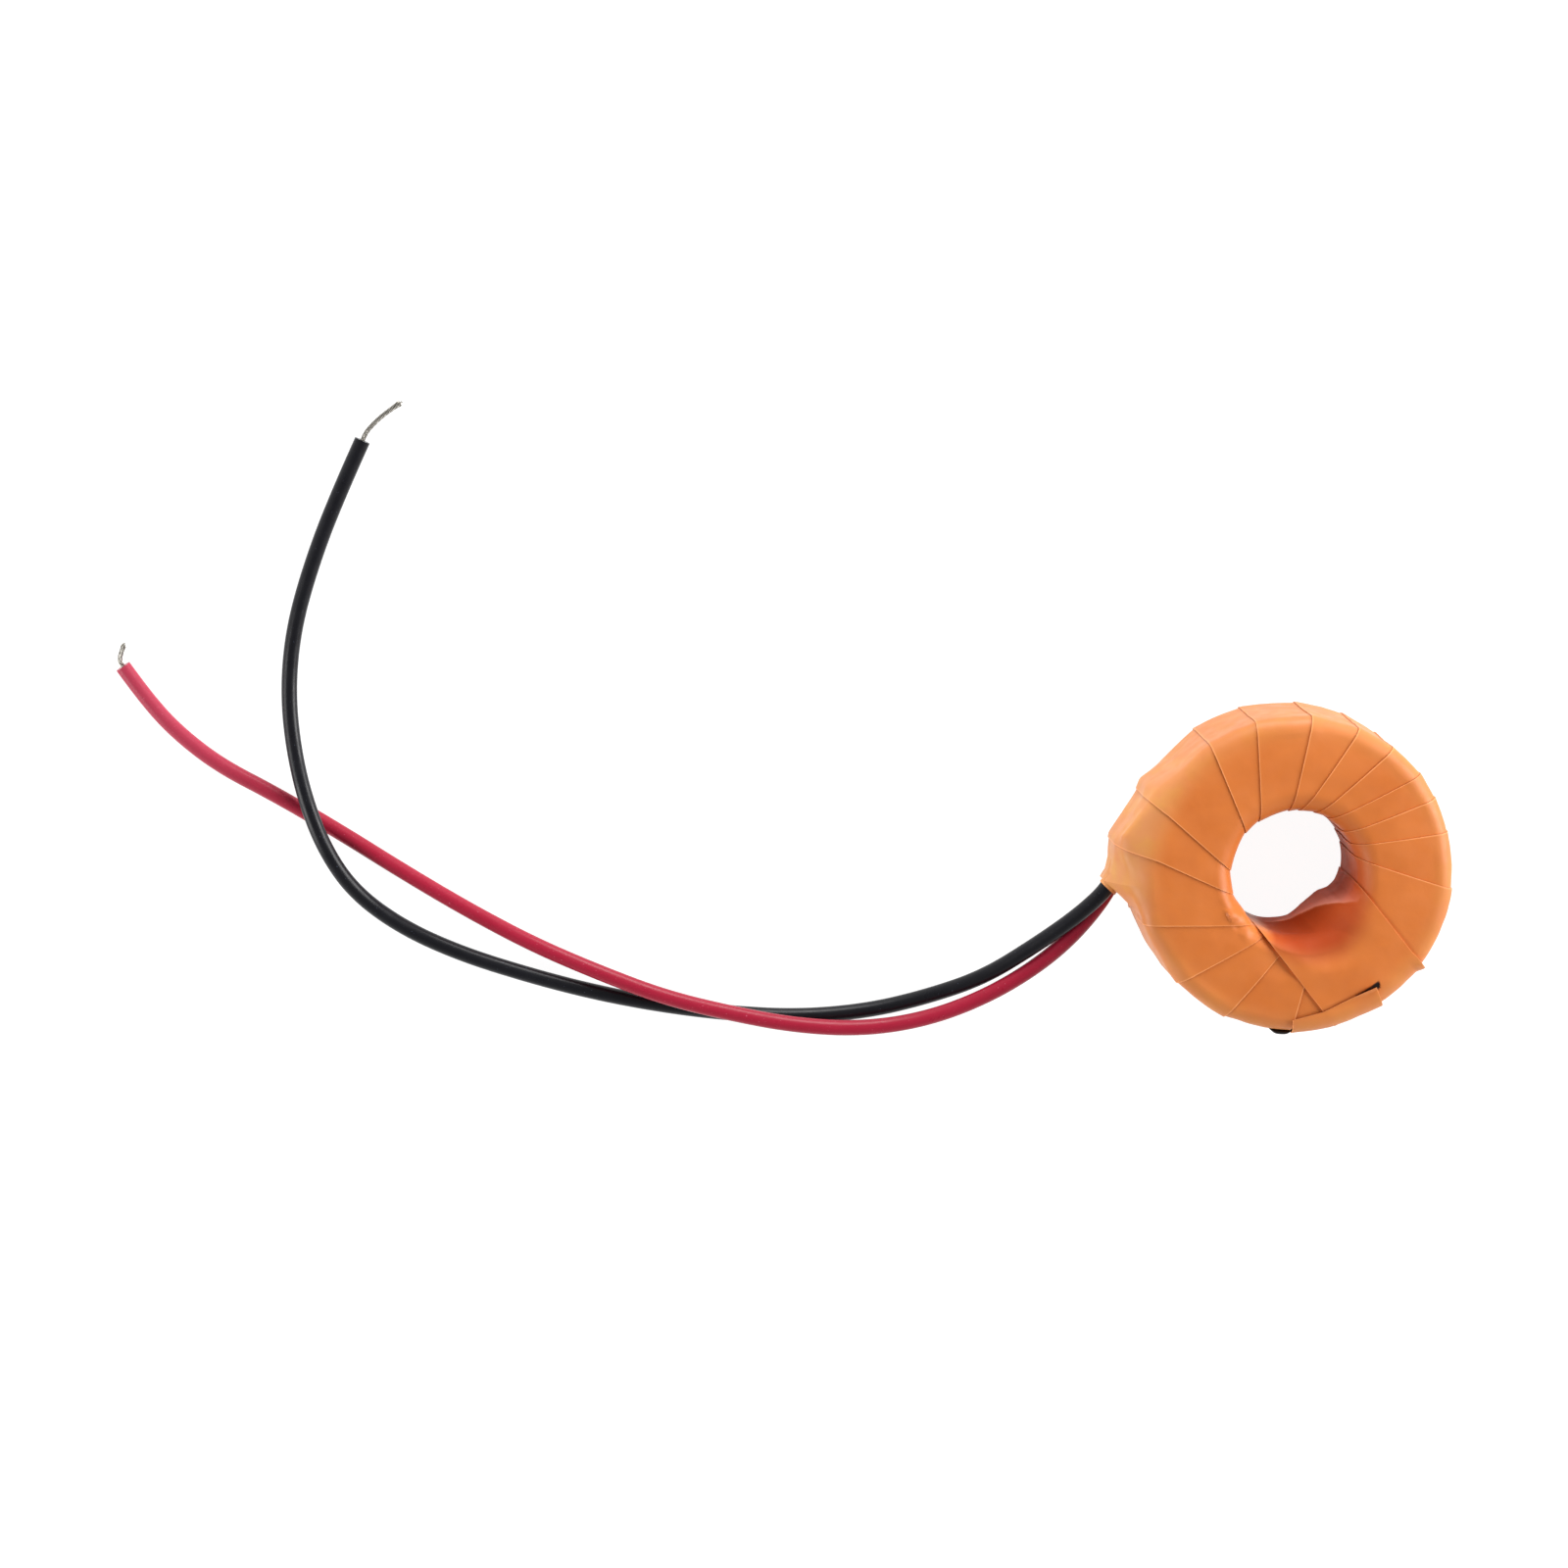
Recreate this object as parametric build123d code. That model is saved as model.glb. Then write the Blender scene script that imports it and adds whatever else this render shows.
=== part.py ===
"""Taped ring current transformer with a red and a black flying lead.

Millimetres, +Z up. The origin lies on the axis of the ring's window, in the plane
that the ring rests on. The two leads come off the left side, towards -X, and lie
on the same plane.
"""
import os
from math import ceil, cos, pi, radians, sin, tan

from build123d import *

BASE = (Align.CENTER, Align.CENTER, Align.MIN)

os.makedirs("parts", exist_ok=True)

# Overall sizes of the taped ring
ring_radius = 16.15
window_radius = 6.55
ring_height = 12.3
outer_rim_round = 1.6
window_rim_round = 2.3

# The orange outer tape
tape_wall = 0.45
lap_rise = 0.16
last_turn_rise = 0.24
pressed_depth = 0.12
facet_angle = 12.0
tape_end_rise = 0.18
tape_end_edges = [(-93.0, -89.6), (-40.0, -55.0)]

# The line along which the end of the tape is cut, and the gap that it leaves open at
# its right end: how far in from the rim each point lies, and its angle
tape_end_cut = [(0.26, -100.9), (1.86, -77.5), (2.05, -52.9), (1.2, -38.0)]
tape_end_gap = [(2.0, -60.0), (2.4, -56.2), (2.42, -54.0), (1.95, -53.2), (1.7, -54.2)]
gap_depth = 0.36

# The layers inside, each one clear of the next by layer_fit. Their rounded edges
# lose this share of the depth at which they lie.
layer_fit = 0.05
round_loss = 0.5
inner_tape_wall = 0.2
winding_depth = 0.9
case_wall = 0.8
case_floor = 0.8
core_fit = 0.1

# Leads, their bare ends and the joints under the tape
lead_diameter = 1.6
strand_diameter = 0.5
stripped_length = 0.8
channel_fit = 0.08
hidden_points = 6
arc_share = 0.45
joint_gap = 0.3
joint_radius = 0.5
joint_length = 1.6
joint_round = 0.35
tail_diameter = 0.3
tail_place = 0.6
pad_thickness = 0.2
pad_height = 5.0
pad_angles = (150.0, 160.8)
black_tab_thickness = 0.35
black_tab_angles = (-95.6, -90.0)
black_tab_height = 5.0
black_tab_drop = 1.3

# Each turn of tape starts at an edge that crosses the face of the ring. An edge is
# given by its angle round the window and its angle round the outer rim, in degrees,
# in the order in which the turns were wound, and each turn lies on the one before.
first_edge = (290.0, 270.0)
turn_edges = [
    (268.0, 245.0),
    (245.6, 223.6),
    (230.0, 198.7),
    (198.0, 171.8),
    (177.0, 153.6),
    (141.0, 124.5),
    (125.2, 106.2),
    (96.2, 85.7),
    (86.5, 67.9),
    (72.0, 53.5),
    (59.3, 39.5),
    (41.0, 29.2),
    (28.0, 15.8),
    (15.0, -5.2),
]
last_turn_edges = [(-9.0, -35.0), (-125.0, -74.2)]

# Routes of the two leads, from the joint under the tape to the cut end of the
# jacket. Each starts beside the wall of the ring, by its stand from the wall, its
# angle and its height. The red lead lies over the black one on the way out, and the
# black one crosses over the red one near the far ends.
black_start = [(0.33, 162.1, 7.0), (0.84, 174.3, 6.9), (2.2, 185.9, 6.75)]
red_start = [(0.33, 163.0, 5.2), (0.76, 176.0, 5.15), (1.76, 187.7, 5.15)]
black_run = [
    (-21.2, -5.1, 6.1),
    (-25.4, -8.6, 4.4),
    (-30.4, -12.3, 2.5),
    (-36.1, -14.6, 1.1),
    (-42.1, -16.1, 0.8),
    (-49.2, -16.7, 0.8),
    (-56.3, -16.3, 0.8),
    (-63.3, -15.4, 0.8),
    (-70.4, -14.0, 0.8),
    (-77.4, -12.1, 0.8),
    (-84.1, -9.9, 0.8),
    (-89.9, -7.2, 0.8),
    (-94.7, -3.5, 1.5),
    (-97.7, 1.1, 2.8),
    (-99.7, 6.3, 2.8),
    (-100.9, 11.5, 1.5),
    (-101.4, 17.1, 0.8),
    (-100.9, 23.1, 0.8),
    (-99.3, 29.2, 0.8),
    (-96.8, 36.1, 0.8),
    (-94.0, 42.4, 0.8),
]
red_run = [
    (-21.1, -7.1, 4.7),
    (-25.1, -10.9, 3.9),
    (-30.3, -14.2, 3.3),
    (-36.3, -16.6, 2.8),
    (-42.8, -17.6, 2.7),
    (-49.7, -17.2, 2.7),
    (-56.4, -15.9, 2.7),
    (-63.2, -14.2, 2.7),
    (-69.9, -11.8, 1.6),
    (-76.4, -9.1, 0.8),
    (-82.9, -5.6, 0.8),
    (-89.4, -1.7, 0.8),
    (-96.3, 2.7, 0.8),
    (-102.7, 6.5, 0.8),
    (-108.2, 9.4, 0.8),
    (-112.4, 12.7, 0.8),
    (-115.5, 16.1, 0.8),
    (-117.9, 19.5, 0.8),
]

# Routes of the bare strands on from the cut ends, straight out of the jacket at first
black_tip = [(-93.6, 43.3, 0.8), (-92.6, 44.4, 0.9), (-91.3, 45.5, 1.2), (-90.0, 46.4, 1.3)]
red_tip = [(-118.25, 20.0, 0.8), (-118.1, 20.9, 0.9), (-117.7, 21.9, 1.0)]

# Where the tape is drawn out over the leads: angle, stand of the crest from the wall,
# heights of the crest's top and foot, stand of the shoulder, and how far the shoulder
# lies below the top of the ring
lead_hump = [
    (139.0, -0.3, 8.5, 3.6, -0.8, 0.9),
    (150.0, 1.15, 8.5, 3.6, -0.15, 0.4),
    (158.0, 1.15, 8.5, 3.6, 0.35, 0.6),
    (168.0, 1.9, 8.5, 3.6, 1.5, 1.2),
    (174.0, 2.1, 8.4, 3.7, 0.8, 1.0),
    (180.0, 2.3, 8.1, 3.9, -0.1, 0.7),
    (184.1, 2.7, 7.85, 4.1, -0.3, 0.6),
    (192.0, 2.7, 7.85, 4.1, -0.6, 0.5),
    (200.0, 2.7, 7.85, 4.1, -0.8, 0.4),
]
hump_foot = 1.6

# The hump is cut square to the leads, through its crest at this angle
mouth_angle = 184.1
mouth_heading = 226.8

# The pucker of the last turn, along the wall of the window: angle, how far its middle
# lies below the top of the ring, how far it stands into the window and half its height
pucker = [
    (-112.0, 7.9, -0.1, 1.5),
    (-97.0, 7.7, 0.45, 2.6),
    (-76.0, 7.1, 1.05, 3.2),
    (-60.0, 6.5, 1.55, 3.6),
    (-45.0, 5.7, 1.4, 3.8),
    (-32.0, 4.5, 0.6, 3.4),
    (-18.0, 3.3, -0.1, 2.0),
]
pucker_thickness = 1.8


def polar(radius, angle):
    """Plan position at a radius and an angle in degrees."""
    return Vector(radius * cos(radians(angle)), radius * sin(radians(angle)))


def rounded_section(width, height, window_round, rim_round):
    """Section of the ring, from the window's wall at x = 0 out to the outer wall."""
    sketch = Pos(width / 2, 0) * Rectangle(width, height)
    corners = sketch.vertices().group_by(Axis.X)
    sketch = fillet(corners[0], window_round)
    corners = sketch.vertices().group_by(Axis.X)
    return fillet(corners[-1], rim_round)


def ring_solid(inset):
    """Round-edged ring that lies inside the nominal tape outline by an inset."""
    width = ring_radius - window_radius - 2 * inset
    height = ring_height - pressed_depth - 2 * inset
    section = rounded_section(
        width,
        height,
        window_rim_round - inset * round_loss,
        outer_rim_round - inset * round_loss,
    )
    place = Plane(
        (window_radius + inset, 0, (ring_height + pressed_depth) / 2),
        x_dir=(1, 0, 0),
        z_dir=(0, -1, 0),
    )
    return revolve(place * section, Axis.Z)


def square_ring(side_inset, end_inset):
    """Square-edged ring inside the nominal outline, by one inset at its walls and
    another at its faces."""
    height = ring_height - pressed_depth - 2 * end_inset
    ring = Cylinder(ring_radius - side_inset, height)
    ring -= Cylinder(window_radius + side_inset, height)
    return Pos(0, 0, (ring_height + pressed_depth) / 2) * ring


def layer(inset, wall):
    """Closed layer of a given wall that starts at an inset."""
    return ring_solid(inset) - ring_solid(inset + wall)


def turn_section(window_angle, rim_angle, rise):
    """Upright section of the taped ring that runs from the window to the rim."""
    start = polar(window_radius - rise, window_angle)
    end = polar(ring_radius + rise, rim_angle)
    along = end - start
    height = ring_height - pressed_depth + 2 * rise
    section = rounded_section(along.length, height, window_rim_round, outer_rim_round)
    middle = Vector(start.X, start.Y, (ring_height + pressed_depth) / 2)
    across = along.normalized().cross(Vector(0, 0, 1))
    return Plane(middle, x_dir=along, z_dir=across) * section


def turn_of_tape(edge, next_edge, rise, next_rise):
    """Stretch of wrapped ring from one tape edge to the next, sinking as it goes."""
    spans = [abs(b - a) for a, b in zip(edge, next_edge)]
    count = max(1, ceil(max(spans) / facet_angle))
    sections = []
    for step in range(count + 1):
        share = step / count
        angles = [a + (b - a) * share for a, b in zip(edge, next_edge)]
        sections.append(turn_section(*angles, rise + (next_rise - rise) * share))
    return loft(sections, ruled=True)


def swept_tube(path, radius):
    """Round tube along a path."""
    return sweep(Plane(path @ 0, z_dir=path % 0) * Circle(radius), path=path)


def arc_radii(points):
    """Radius at each corner of a route, whose arc takes up a share of its shorter run."""
    runs = [Vector(*b) - Vector(*a) for a, b in zip(points, points[1:])]
    half_turns = [radians(a.get_angle(b)) / 2 for a, b in zip(runs, runs[1:])]
    reaches = [arc_share * min(a.length, b.length) for a, b in zip(runs, runs[1:])]
    return [reach / tan(half_turn) for reach, half_turn in zip(reaches, half_turns)]


def lead_path(points):
    """Straight runs joined by the largest arcs that they leave room for."""
    return FilletPolyline(*points, radius=arc_radii(points))


def beside_wall(places):
    """Points beside the wall of the ring, by stand from it, angle and height."""
    return [
        (*tuple(polar(ring_radius + stand, angle))[:2], height)
        for stand, angle, height in places
    ]


def make_outer_tape(channels):
    """The whole wrap of orange tape, with its last turn, its end and the lead hump."""
    edges = turn_edges + [tuple(angle - 360 for angle in first_edge)]
    following = edges[1:] + [tuple(angle - 360 for angle in edges[0])]
    turns = [
        turn_of_tape(edge, next_edge, lap_rise, 0)
        for edge, next_edge in zip(edges, following)
    ]
    turns.append(turn_of_tape(*last_turn_edges, last_turn_rise, last_turn_rise))
    wrap = turns[0].fuse(*turns[1:], make_hump(), make_pucker(), make_tape_end())
    wrap -= ring_solid(tape_wall) + make_gap()
    wrap -= Pos(0, 0, -ring_height) * Box(
        6 * ring_radius, 6 * ring_radius, 2 * ring_height
    )
    for channel in channels:
        wrap -= channel
    return wrap


def hump_section(angle, crest, crest_top, crest_foot, shoulder, shoulder_drop):
    """Upright section of the hump, square to the wall of the ring."""
    root = ring_radius - outer_rim_round
    corners = [
        (root, hump_foot),
        (root, ring_height),
        (ring_radius + shoulder, ring_height - shoulder_drop),
        (ring_radius + crest, crest_top),
        (ring_radius + crest, crest_foot),
        (ring_radius, hump_foot),
    ]
    place = Plane((0, 0, 0), x_dir=polar(1, angle), z_dir=polar(1, angle - 90))
    return place * make_face(Polyline(*corners, close=True))


def make_hump():
    """Tape drawn out over the leads, from the wall of the ring to its cut edge."""
    hump = loft([hump_section(*row) for row in lead_hump], ruled=True)
    crest = min(lead_hump, key=lambda row: abs(row[0] - mouth_angle))[1]
    tip = polar(ring_radius + crest, mouth_angle)
    mouth = Plane((tip.X, tip.Y, ring_height / 2), z_dir=polar(1, mouth_heading))
    beyond = Pos(0, 0, ring_radius) * Box(4 * ring_radius, 4 * ring_radius, 2 * ring_radius)
    return hump - mouth * beyond


def make_pucker():
    """Fold of the last turn, where the wide tape gathers in the small window."""
    sections = []
    for angle, drop, stand, half_height in pucker:
        centre = polar(window_radius - stand + pucker_thickness, angle)
        place = Plane(
            (centre.X, centre.Y, ring_height - drop),
            x_dir=polar(1, angle),
            z_dir=polar(1, angle - 90),
        )
        sections.append(place * Ellipse(pucker_thickness, half_height))
    return loft(sections)


def rim_points(places):
    """Plan points given by how far in from the rim they lie and their angle."""
    return [polar(ring_radius - inset, angle) for inset, angle in places]


def make_tape_end():
    """Cut end of the tape, brought up over the outer rim onto the last turn."""
    rise = last_turn_rise + tape_end_rise
    band = turn_of_tape(*tape_end_edges, rise, rise)
    line = rim_points(tape_end_cut)
    far = [Vector(line[-1].X, -2 * ring_radius), Vector(line[0].X, -2 * ring_radius)]
    outline = make_face(Polyline(*line, *far, close=True))
    return band & extrude(outline, 2 * ring_height, both=True)


def make_gap():
    """Gap that the end of the tape leaves open, as the solid that it takes out."""
    outline = make_face(Polyline(*rim_points(tape_end_gap), close=True))
    floor = ring_height + last_turn_rise - gap_depth
    return Pos(0, 0, floor) * extrude(outline, ring_height)


def make_inner_tape(tails):
    """First layer of tape, laid straight on the winding."""
    inset = tape_wall + layer_fit
    return layer(inset, inner_tape_wall) - tails


def winding_inset():
    """How far the winding lies inside the nominal outline."""
    return tape_wall + layer_fit + inner_tape_wall + layer_fit


def make_winding(tails):
    """Copper winding all round the core case, with its two tails."""
    inset = winding_inset()
    return layer(inset, winding_depth) + (tails - ring_solid(inset + winding_depth / 2))


def case_inset():
    """How far the core case lies inside the nominal outline."""
    return winding_inset() + winding_depth + layer_fit


def make_case():
    """Core case: a cup with two walls, closed by a flat lid."""
    inset = case_inset()
    block = ring_solid(inset) - square_ring(inset + case_wall, inset + case_floor)
    lid_plane = Plane((0, 0, ring_height - inset - case_floor))
    cup = block.split(lid_plane, keep=Keep.BOTTOM)
    lid = block.split(lid_plane, keep=Keep.TOP)
    return cup, lid


def make_core():
    """Wound strip core, loose in its case."""
    inset = case_inset() + core_fit
    return square_ring(inset + case_wall, inset + case_floor)


def joint_place(route):
    """Start of a lead, with Z pointing back along it into the joint."""
    start, after = Vector(*route[0]), Vector(*route[1])
    return Plane(start, z_dir=start - after)


def make_strand_end(route, grow=0.0):
    """Stripped end of a lead that is soldered to a tail of the winding."""
    rod = Cylinder(strand_diameter / 2 + grow, stripped_length, align=BASE)
    return joint_place(route) * rod


def make_joint(route, grow=0.0):
    """Round-ended blob of solder on the stripped end."""
    length = joint_length + 2 * grow
    blob = Cylinder(joint_radius + grow, length, align=BASE)
    blob = fillet(blob.edges().filter_by(GeomType.CIRCLE), joint_round)
    return joint_place(route) * (Pos(0, 0, joint_gap - grow) * blob)


def make_tail(route, radius):
    """Fine wire straight out from the winding, into a joint beyond the lead's end."""
    middle = joint_place(route) * Pos(0, 0, joint_gap + joint_length * tail_place)
    end = middle.position
    outward = Vector(end.X, end.Y)
    start = outward.normalized() * (ring_radius - winding_inset() - winding_depth / 2)
    reach = outward.length - start.length
    place = Plane((start.X, start.Y, end.Z), z_dir=outward)
    return place * Cylinder(radius, reach, align=BASE)


def make_pad(grow=0.0):
    """Curved insulating pad between the joints and the first layer of tape."""
    low_radius = ring_radius - tape_wall + layer_fit - grow
    thickness = pad_thickness + 2 * grow
    margin = grow / low_radius * 180 / pi
    middle = (black_start[0][2] + red_start[0][2]) / 2
    section = Pos(low_radius + thickness / 2, middle) * Rectangle(
        thickness, pad_height + 2 * grow
    )
    start = Plane.XZ.rotated((0, 0, pad_angles[0] - margin))
    return revolve(
        start * section, Axis.Z, pad_angles[1] - pad_angles[0] + 2 * margin
    )


def make_black_tab():
    """End of a black strip that shows beside the end of the tape."""
    low_radius = ring_radius + lap_rise
    middle = ring_height - black_tab_drop - black_tab_height / 2
    section = Pos(low_radius + black_tab_thickness / 2, middle) * Rectangle(
        black_tab_thickness, black_tab_height
    )
    start = Plane.XZ.rotated((0, 0, black_tab_angles[0]))
    return revolve(start * section, Axis.Z, black_tab_angles[1] - black_tab_angles[0])


def write(name, shape):
    """Name a piece and write it to its own file."""
    shape.label = name
    export_step(shape, f"parts/{name}.step")


def main():
    """Build every piece of the transformer and write it out."""
    lead_radius = lead_diameter / 2
    routes = {
        "black": beside_wall(black_start) + black_run,
        "red": beside_wall(red_start) + red_run,
    }
    tips = {"black": black_tip, "red": red_tip}
    channels = [
        swept_tube(lead_path(route[:hidden_points]), lead_radius + channel_fit)
        for route in routes.values()
    ]
    channels += [make_joint(route, channel_fit) for route in routes.values()]
    channels += [make_strand_end(route, channel_fit) for route in routes.values()]
    channels += [
        make_tail(route, tail_diameter / 2 + channel_fit) for route in routes.values()
    ]
    channels.append(make_pad(layer_fit))
    tails = {n: make_tail(r, tail_diameter / 2) for n, r in routes.items()}
    holes = [make_tail(r, tail_diameter / 2 + layer_fit) for r in routes.values()]
    write("outer_tape", make_outer_tape(channels))
    write("inner_tape", make_inner_tape(holes))
    write("winding", make_winding(tails["black"] + tails["red"]))
    cup, lid = make_case()
    write("core_case", cup)
    write("core_case_lid", lid)
    write("strip_core", make_core())
    write("joint_pad", make_pad() - holes)
    write("black_tab", make_black_tab())
    for name, route in routes.items():
        joint = make_joint(route) - make_strand_end(route) - tails[name]
        write(f"{name}_solder_joint", joint)
        path = lead_path(route)
        print(name, "lead is", round(path.length, 1), "long, arcs of radius")
        print([round(radius, 1) for radius in arc_radii(route)])
        write(f"{name}_lead", swept_tube(path, lead_radius))
        bare_end = lead_path([route[-1], *tips[name]])
        strands = swept_tube(bare_end, strand_diameter / 2)
        write(f"{name}_lead_strands", Compound([strands, make_strand_end(route)]))


main()
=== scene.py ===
"""Looks of the taped ring current transformer, in metres, +Z up.

The ring lies on the floor with its window's axis on Z, and the two leads come off
its left side.
"""
from math import ceil, cos, pi, radians, sin, tan

import bmesh
import bpy
import numpy as np
from mathutils import Matrix, Vector, noise


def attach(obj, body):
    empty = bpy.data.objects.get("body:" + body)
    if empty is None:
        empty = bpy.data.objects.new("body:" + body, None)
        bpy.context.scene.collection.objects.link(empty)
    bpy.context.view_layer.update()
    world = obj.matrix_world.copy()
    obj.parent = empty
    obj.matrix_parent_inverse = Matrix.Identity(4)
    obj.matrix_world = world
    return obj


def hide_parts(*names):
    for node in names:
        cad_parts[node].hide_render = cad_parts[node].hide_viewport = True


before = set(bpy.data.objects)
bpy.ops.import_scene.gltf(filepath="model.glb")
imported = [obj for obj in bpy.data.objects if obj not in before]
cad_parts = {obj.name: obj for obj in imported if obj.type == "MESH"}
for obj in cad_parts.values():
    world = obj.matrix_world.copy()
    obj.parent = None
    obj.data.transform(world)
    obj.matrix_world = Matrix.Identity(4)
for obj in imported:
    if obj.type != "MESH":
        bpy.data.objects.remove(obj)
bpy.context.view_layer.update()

MM = 0.001

# The photograph's frame and the camera that took it
IMAGE_SIZE = 1600
PIXELS_PER_METRE = 10000
VIEW_TARGET = Vector((-51.0 * MM, 7.4 * MM, 0))
VIEW_DISTANCE = 550 * MM
VIEW_LEAN_LEFT = 5.5
VIEW_LEAN_UP = 9.5
SENSOR_WIDTH = 36

# The taped ring
RING_RADIUS = 16.15 * MM
WINDOW_RADIUS = 6.55 * MM
RING_HEIGHT = 12.3 * MM
RING_MIDDLE = Vector((0, 0, 6 * MM))
RIM_ROUND = 1.6 * MM
WINDOW_ROUND = 2.3 * MM
CROWN = 0.25 * MM
LAP_RISE = 0.13 * MM
LAST_TURN_RISE = 0.27 * MM
TAPE_END_RISE = 0.45 * MM
HIDDEN_RISE = -0.12 * MM
ROW_STEP = 0.26 * MM
FINE_ROW_STEP = 0.17 * MM
COLUMN_STEP = 1.0
FINE_COLUMN_STEP = 0.8
BORDER_STEPS = (0.13 * MM, 0.3 * MM)
SHARP_ANGLE = 38

# How straight the tape is pulled across a turn, 0 for a round arc and 1 for a chord,
# and the widest span at the rim that is pulled straight
WINDOW_FLATNESS = 0.5
RIM_FLATNESS = 0.45
END_FLATNESS = 0.35
WIDE_TURN = 40

# Unevenness of the tape: its depth in millimetres by zone and elsewhere, how many wide,
# fine and sleeve folds there are to a metre, and the angle and the span of the creases at
# the window's lower left
RELIEF = {"face": 0.08, "rim": 0.16, "wall": 0.16, "window": 0.12, "window_round": 0.12}
OTHER_RELIEF = 0.06
WIDE_FOLDS = 210
FINE_FOLDS = 640
SLEEVE_FOLDS = 900
CREASE_ANGLE = 224
CREASE_SPAN = 26

# How strong the pale border or the painted shade is at the columns beside the edge of a turn
# The pale border is partly the cut edge's own lighter colour and partly a painted highlight
EDGE_SHARES = (0.85, 0.6, 0.0)
SHADE_SHARES = (0.0, 0.2, 0.5)
LAST_TURN_SHARES = (0.0, 0.7, 0.95)
TAPE_END_SHARES = (0.0, 0.5, 0.8)
CUT_SHARES = (0.5, 0.9, 0.4)

# Edges of the turns of tape, clockwise: angle at the window and angle at the rim
TURN_EDGES = [
    (268.0, 245.0),
    (245.6, 223.6),
    (230.0, 198.7),
    (198.0, 171.8),
    (177.0, 153.6),
    (141.0, 124.5),
    (125.2, 106.2),
    (96.2, 85.7),
    (86.5, 67.9),
    (72.0, 53.5),
    (59.3, 39.5),
    (41.0, 29.2),
    (28.0, 15.8),
    (15.0, -5.2),
    (-70.0, -90.0),
]
LAST_TURN_EDGES = [(-9.0, -35.0), (-125.0, -74.2)]
TAPE_END_EDGES = [(-38.0, -55.0), (-96.0, -89.6)]

# How far the last turn flares out below the rim at its right edge, how thick the end of
# the tape is, and how far it curls up at its cut and at its right corner
LAST_TURN_FLARE = 0.42 * MM
TAPE_END_THICKNESS = 0.12 * MM
CUT_CURL = 0.03 * MM
CORNER_CURL = 0.42 * MM

# Cut end of the tape, as plan points in millimetres from left to right, and the gap
# that it leaves open at its right end, painted near-black as shade, with its widths by X
TAPE_END_CUT = [(-3.0, -15.6), (0.1, -14.77), (3.1, -13.95), (8.5, -11.25), (12.0, -9.5)]
GAP_DEPTH = 0.1 * MM
GAP = [(6.4, 0.0), (7.2, 0.07), (8.0, 0.14), (8.4, 0.28), (8.7, 0.28), (8.85, 0.0)]

# The tape over the leads, by rim angle: radius of its crest, and how far its
# shoulder moves outwards and up, all in millimetres
HUMP_CREST = [
    (138.0, 15.9),
    (144.0, 16.5),
    (150.0, 17.3),
    (154.0, 17.15),
    (158.0, 17.25),
    (163.0, 17.5),
    (170.4, 18.25),
    (177.7, 18.2),
    (181.8, 18.4),
    (184.1, 18.85),
]
HUMP_SHOULDER = [
    (136.0, 0.0, 0.0),
    (144.0, 0.15, 0.0),
    (151.5, 0.35, 0.1),
    (160.0, 1.0, -0.3),
    (168.0, 1.95, -0.8),
    (174.0, 1.25, -0.6),
    (180.0, 0.35, -0.2),
    (188.0, 0.05, 0.0),
    (192.0, 0.0, 0.0),
]

# Shares of the way down the wall at which the hump's shoulder, its crest and its foot
# lie, the same at its tip, and the rim angles between which the tip begins
HUMP_KNOTS = [0, 0.09, 0.33, 0.66, 0.86, 1]
TIP_KNOTS = [0, 0.09, 0.395, 0.64, 0.8, 1]
TIP_ANGLES = (174, 182)

# The mouth of the tape over the leads: a cut square to the leads, the rim angles that it
# lies between, the columns close to it, and how the wrap gives way to the leads there
MOUTH_HEADING = 226.8
MOUTH_DISTANCE = 13.86
MOUTH_START = 184.1
MOUTH_END = 199
MOUTH_COLUMNS = np.arange(183.2, MOUTH_END, 0.3)
MOUTH_DEPTH = 1.6 * MM
MOUTH_RADIUS = 0.72 * MM
MOUTH_REACH = 0.4 * MM

# The sleeve of tape that lies round both leads at the mouth
SLEEVE_LENGTH = 4.5 * MM
SLEEVE_STEPS = 28
SLEEVE_SIDES = 56
SLEEVE_OUTER = 0.14 * MM
SLEEVE_INNER = 0.03 * MM
SLEEVE_PROUD = 0.4 * MM
SLEEVE_SWELL = 0.06 * MM

# The end of the black strip beside the end of the tape: angles of its two ends, where
# it starts from the middle of the ring, its thickness and its heights
STRIP_ANGLES = (-97.0, -89.0)
STRIP_RADIUS = 16.22 * MM
STRIP_THICKNESS = 0.46 * MM
STRIP_HEIGHTS = (6.0 * MM, 11.0 * MM)
STRIP_STEPS = 30
STRIP_SIDES = 24

# Painted highlight on the rim: the radii in millimetres between which it starts, its share
# all round, and the angle and span where it is twice as strong
RIM_HIGHLIGHT_RADII = (13.2, 16.2)
RIM_HIGHLIGHT_SHARE = 0.3
RIM_HIGHLIGHT_ANGLE = 158
RIM_HIGHLIGHT_SPAN = 40

# Palest tape, over the leads: its middle and its spread in millimetres, and its share
TIP_MIDDLE = (-18.6, -0.9)
TIP_SPREAD = (2.2, 3.0)
TIP_SHARE = 0.9

# Values that the tape's points carry for its material, painted highlights and shade among them
TAPE_VALUES = ("edge", "dark", "pale", "window_shade", "window_sheen", "black")

# The gathered tape in the window, by window angle: height of its ridge, how far the
# ridge stands in, and how far the wall under it stands in, in millimetres
PUCKER = [
    (-118.0, 5.0, 0.0, 0.0),
    (-108.0, 5.2, 0.15, 0.1),
    (-97.0, 5.6, 0.45, 0.45),
    (-90.0, 6.0, 0.7, 0.65),
    (-76.0, 6.8, 1.15, 0.8),
    (-68.0, 7.4, 1.5, 1.1),
    (-60.0, 7.8, 1.6, 1.4),
    (-53.0, 8.2, 1.6, 1.5),
    (-45.0, 9.0, 1.35, 1.5),
    (-41.0, 9.6, 1.15, 1.4),
    (-32.0, 10.8, 0.5, 0.8),
    (-22.0, 11.8, 0.15, 0.2),
    (-12.0, 12.0, 0.0, 0.0),
]

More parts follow.
